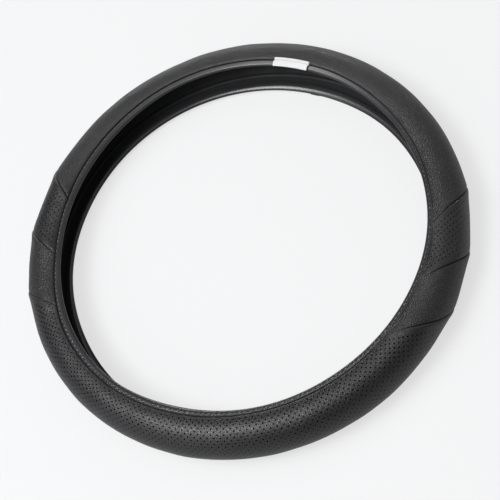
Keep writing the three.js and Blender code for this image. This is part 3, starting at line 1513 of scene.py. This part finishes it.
@dataclass(frozen=True)
class SeamTab:
    """A bare white ribbon, folded double and sewn into the front seam over the band.

    Its route is a list of places past the seam and above the leather: up out of the seam, back
    into a small roll, down to the crease at the seam, along the flap to its fold and under again.
    """

    turn: float = math.radians(83.0)
    width: float = 32 * MM
    thickness: float = 0.28 * MM
    curl: float = 0.7 * MM
    curl_reach: float = 4 * MM
    skew: float = 1.1 * MM
    wave: float = 0.08 * MM
    wave_length: float = 4.1 * MM
    ripple: float = 0.05 * MM
    ripple_length: float = 1.9 * MM
    held: float = 2 * MM
    columns: int = 64
    steps_a_leg: int = 4
    route: tuple[tuple[float, float], ...] = (
        (0.0, -0.3),
        (-0.3, 0.45),
        (-1.2, 0.55),
        (-2.0, 0.75),
        (-2.15, 1.2),
        (-1.6, 1.6),
        (-0.7, 1.5),
        (-0.1, 0.75),
        (0.35, -0.1),
        (0.8, 0.75),
        (1.4, 1.2),
        (2.8, 1.35),
        (4.6, 1.3),
        (5.6, 1.0),
        (5.0, 0.7),
        (3.4, 0.75),
        (1.6, 0.7),
        (0.6, 0.3),
    )

    def line(self) -> np.ndarray:
        """Follow smooth curves through the route.

        Returns:
            Rows of the distance past the seam and the height above the leather.
        """
        knots = np.array(self.route) * MM
        knots = np.vstack([2 * knots[0] - knots[1], knots, 2 * knots[-1] - knots[-2]])
        line = []
        for points in zip(knots, knots[1:], knots[2:], knots[3:]):
            for share in np.arange(self.steps_a_leg) / self.steps_a_leg:
                line.append(glide(points, share))
        line.append(knots[-2])
        return np.array(line)

    def build(self, material: bpy.types.Material) -> bpy.types.Object:
        """Fold the ribbon and dress it.

        Args:
            material: The ribbon's material.

        Returns:
            The finished piece.
        """
        line = self.line()
        runs = np.concatenate([[0], np.cumsum(np.hypot(*np.diff(line, axis=0).T))])
        length = runs[-1]
        tab = cut_sheet("bare_seam_tab", self.width, length, self.columns, len(line) - 1)
        flat = points_of(tab)
        row = np.rint((flat[:, 1] / length + 0.5) * (len(line) - 1)).astype(int)
        flat[:, 1] = runs[row]
        move_points(tab, flat)
        print_pattern(tab)
        move_points(tab, self.sewn_in(flat[:, 0], *line[row].T))
        with editing(tab):
            bpy.ops.mesh.select_all(action="SELECT")
            bpy.ops.mesh.flip_normals()
        thicken(tab, self.thickness)
        smooth(tab)
        hand_over(tab, material, "seam_tab")
        return tab

    def sewn_in(self, along: np.ndarray, past: np.ndarray, raised: np.ndarray) -> np.ndarray:
        """Place the folded ribbon on the ring, wavy and skewed where it is free of the seam.

        Args:
            along: Places along the ribbon's width.
            past: Distances past the seam.
            raised: Heights above the leather.

        Returns:
            Rows of x, y and z.
        """
        flap_end = max(place for place, _ in self.route) * MM
        from_corner = np.hypot(self.width / 2 - along, flap_end - past)
        wave = self.wave * np.sin(along / self.wave_length)
        wave += self.ripple * np.sin(along / self.ripple_length)
        free = np.clip(past / self.held, 0, 1)
        curl = bulge(from_corner, self.curl_reach, self.curl) * (past > 0)
        turn = self.turn + (along + self.skew * free) / RING.radius(RING.seam_angle, 0.0)
        return RING.place(turn, RING.past_seam(past), -(raised + curl + wave * free))


@dataclass(frozen=True)
class Cover:
    """The whole cover: six panels, the lining, two bands, two rows of stitches and the tab."""

    raised: float = 0.8 * MM
    small_hole: float = 1.08 * MM
    lap: float = 0.55 * MM
    stitch_rows: dict[Side, StitchRow] = field(
        default_factory=lambda: {side: StitchRow(side) for side in Side}
    )

    def panels(self) -> list[SkinPanel]:
        """Lay out the six panels.

        Returns:
            The panels in order round the ring, the raised side of each join below it.
        """
        right = [right_join(*place) for place in RIGHT_JOINS]
        left = [left_join(*place) for place in LEFT_JOINS]
        next_right = replace(right[2], turn=right[2].turn + 2 * math.pi)
        start = {"start_swell": self.raised}
        end = {"end_swell": self.raised}
        small = {"hole": self.small_hole}
        return [
            SkinPanel("top_panel", right[0], left[0], GRAINED),
            SkinPanel("left_upper_panel", left[0], left[1], PERFORATED, **start, **small),
            SkinPanel("left_lower_panel", left[1], left[2], GRAINED, **start),
            SkinPanel("bottom_panel", left[2], next_right, PERFORATED, **start, **end),
            SkinPanel("right_lower_panel", right[2], right[1], GRAINED, **end),
            SkinPanel("right_upper_panel", right[1], right[0], PERFORATED, **end, **small),
        ]

    def build(self) -> None:
        """Make every piece of the cover."""
        leathers = {leather: leather.material() for leather in (GRAINED, PERFORATED)}
        LiningRing().build(MouldedRubber().material())
        for panel in self.panels():
            panel.build(leathers[panel.finish])
        band_leather = BAND.material()
        thread = PolyesterThread().material()
        laps = {Side.FRONT: 0.0, Side.BACK: self.lap}
        for side, stitches in self.stitch_rows.items():
            EdgeBand(side, lap=laps[side]).build(band_leather, stitches)
            stitches.build(thread)
        SeamTab().build(WovenRibbon().material())


@dataclass(frozen=True)
class SoftBox:
    """A large soft lamp, placed by its direction from the ring.

    Its width and height are the angles in degrees that it fills as the ring sees it, and a
    brightness of 1 is the white of paper.
    """

    name: str
    azimuth: float
    elevation: float
    width: float
    height: float
    brightness: float
    distance: float = 2.2

    def build(self) -> bpy.types.Object:
        """Add the lamp, turned to the ring.

        Returns:
            The lamp.
        """
        toward = direction(self.azimuth, self.elevation)
        bpy.ops.object.light_add(type="AREA", location=toward * self.distance)
        lamp = bpy.context.object
        lamp.name = self.name
        lamp.rotation_euler = toward.to_track_quat("Z", "Y").to_euler()
        lamp.visible_camera = False
        lamp.data.shape = "RECTANGLE"
        lamp.data.size = 2 * self.distance * math.tan(math.radians(self.width / 2))
        lamp.data.size_y = 2 * self.distance * math.tan(math.radians(self.height / 2))
        lamp.data.energy = self.brightness * math.pi * lamp.data.size * lamp.data.size_y
        return lamp


def direction(azimuth: float, elevation: float) -> Vector:
    """Return the unit vector towards an azimuth and elevation in degrees."""
    turn, rise = math.radians(azimuth), math.radians(elevation)
    return Vector((math.cos(rise) * math.cos(turn), math.cos(rise) * math.sin(turn), math.sin(rise)))


@dataclass(frozen=True)
class Studio:
    """A pale floor, soft lamps, a dim white room and the camera."""

    floor_size: float = 40.0
    floor_colour: str = "#828385"
    floor_glow: float = 0.67
    floor_mirrored_share: float = 0.53
    fibre: float = 1.5 * MM
    fibre_height: float = 0.02 * MM
    room_colour: str = "#FFFFFF"
    room_strength: float = 0.05
    room_glow: float = 0.55
    room_mirrored_share: float = 0.05
    target: tuple[float, float, float] = (7.73 * MM, -8.17 * MM, 22.61 * MM)
    azimuth: float = -50.745
    elevation: float = 59.317
    roll: float = -32.268
    distance: float = 1350 * MM
    lens: float = 115.2
    # Azimuth, elevation, width, height and brightness of each lamp
    lamps: tuple[SoftBox, ...] = (
        SoftBox("key_lamp", 228, 58, 60, 50, 0.8),
        SoftBox("key_core", 224, 67, 36, 26, 4.0),
        SoftBox("key_hot_spot", 233, 63, 20, 16, 9.5),
        SoftBox("top_lamp", 130, 80, 66, 56, 0.75),
        SoftBox("right_lamp", 36, 30, 60, 36, 0.45),
        SoftBox("back_lamp", 112, 6, 50, 5, 12.0),
        SoftBox("left_lamp", 240, 19, 54, 34, 0.9),
    )

    @staticmethod
    def shown(
        backdrop: bpy.types.Material | bpy.types.World, mirrored: float, glow: float, light: float
    ) -> bpy.types.NodeSocket:
        """Add the strength of a backdrop that the camera sees brighter than it lights.

        Args:
            backdrop: The material or world to add it to.
            mirrored: The share of the glow that glossy surfaces show.
            glow: The extra strength that the camera sees, also through glass.
            light: The strength that lights the object.

        Returns:
            The socket with the strength.
        """
        path = add_node(backdrop, "ShaderNodeLightPath")
        through = add_node(
            backdrop,
            "ShaderNodeMath",
            {0: path.outputs["Is Camera Ray"], 1: path.outputs["Is Transmission Ray"]},
            operation="MAXIMUM",
        )
        seen = add_node(
            backdrop,
            "ShaderNodeMath",
            {0: path.outputs["Is Glossy Ray"], 1: mirrored, 2: through.outputs["Value"]},
            operation="MULTIPLY_ADD",
        )
        strength = add_node(
            backdrop,
            "ShaderNodeMath",
            {0: seen.outputs["Value"], 1: glow, 2: light},
            operation="MULTIPLY_ADD",
        )
        return strength.outputs["Value"]

    def floor_material(self) -> bpy.types.Material:
        """Build matt paper that looks white to the camera and still shows shadow.

        Returns:
            The floor's material.
        """
        material = blank_material("matt_backdrop_paper")
        place = add_node(material, "ShaderNodeTexCoord")
        fibres = add_node(
            material,
            "ShaderNodeTexNoise",
            {"Vector": place.outputs["Object"], "Scale": 1 / self.fibre, "Detail": 2.0},
        )
        bump = add_node(
            material,
            "ShaderNodeBump",
            {"Height": fibres.outputs["Fac"], "Distance": self.fibre_height, "Strength": 0.5},
        )
        paper = add_node(
            material,
            "ShaderNodeBsdfDiffuse",
            {"Color": linear(self.floor_colour), "Normal": bump.outputs["Normal"]},
        )
        strength = self.shown(material, self.floor_mirrored_share, self.floor_glow, 0.0)
        glow = add_node(material, "ShaderNodeEmission", {"Strength": strength})
        both = add_node(
            material, "ShaderNodeAddShader", {0: paper.outputs["BSDF"], 1: glow.outputs["Emission"]}
        )
        add_node(material, "ShaderNodeOutputMaterial", {"Surface": both.outputs["Shader"]})
        return material

    def build(self) -> None:
        """Add the floor, the lamps, the room and the camera."""
        bpy.ops.object.select_all(action="DESELECT")
        bpy.ops.mesh.primitive_grid_add(x_subdivisions=8, y_subdivisions=8, size=self.floor_size)
        floor = bpy.context.object
        floor.name = "studio_floor"
        floor.data.materials.append(self.floor_material())
        for lamp in self.lamps:
            lamp.build()
        self.light_room()
        self.add_camera()

    def light_room(self) -> None:
        """Fill the room with a little even light, and let the camera see it pale."""
        world = bpy.data.worlds.new("studio_room")
        world.use_nodes = True
        world.node_tree.nodes.clear()
        strength = self.shown(world, self.room_mirrored_share, self.room_glow, self.room_strength)
        room = add_node(
            world,
            "ShaderNodeBackground",
            {"Color": linear(self.room_colour), "Strength": strength},
        )
        add_node(world, "ShaderNodeOutputWorld", {"Surface": room.outputs["Background"]})
        bpy.context.scene.world = world

    def add_camera(self) -> None:
        """Add the camera at its angle, rolled as it was held."""
        toward = direction(self.azimuth, self.elevation)
        roll = Quaternion((0, 0, 1), math.radians(self.roll))
        bpy.ops.object.camera_add(location=Vector(self.target) + toward * self.distance)
        camera = bpy.context.object
        camera.name = "studio_camera"
        camera.rotation_euler = (toward.to_track_quat("Z", "Y") @ roll).to_euler()
        camera.data.lens = self.lens
        bpy.context.scene.camera = camera


def main() -> None:
    """Build the cover and its studio."""
    logging.basicConfig(level=logging.INFO, format="%(message)s")
    bpy.context.scene.view_settings.view_transform = "Standard"
    Studio().build()
    Cover().build()


if __name__ == "__main__":
    main()
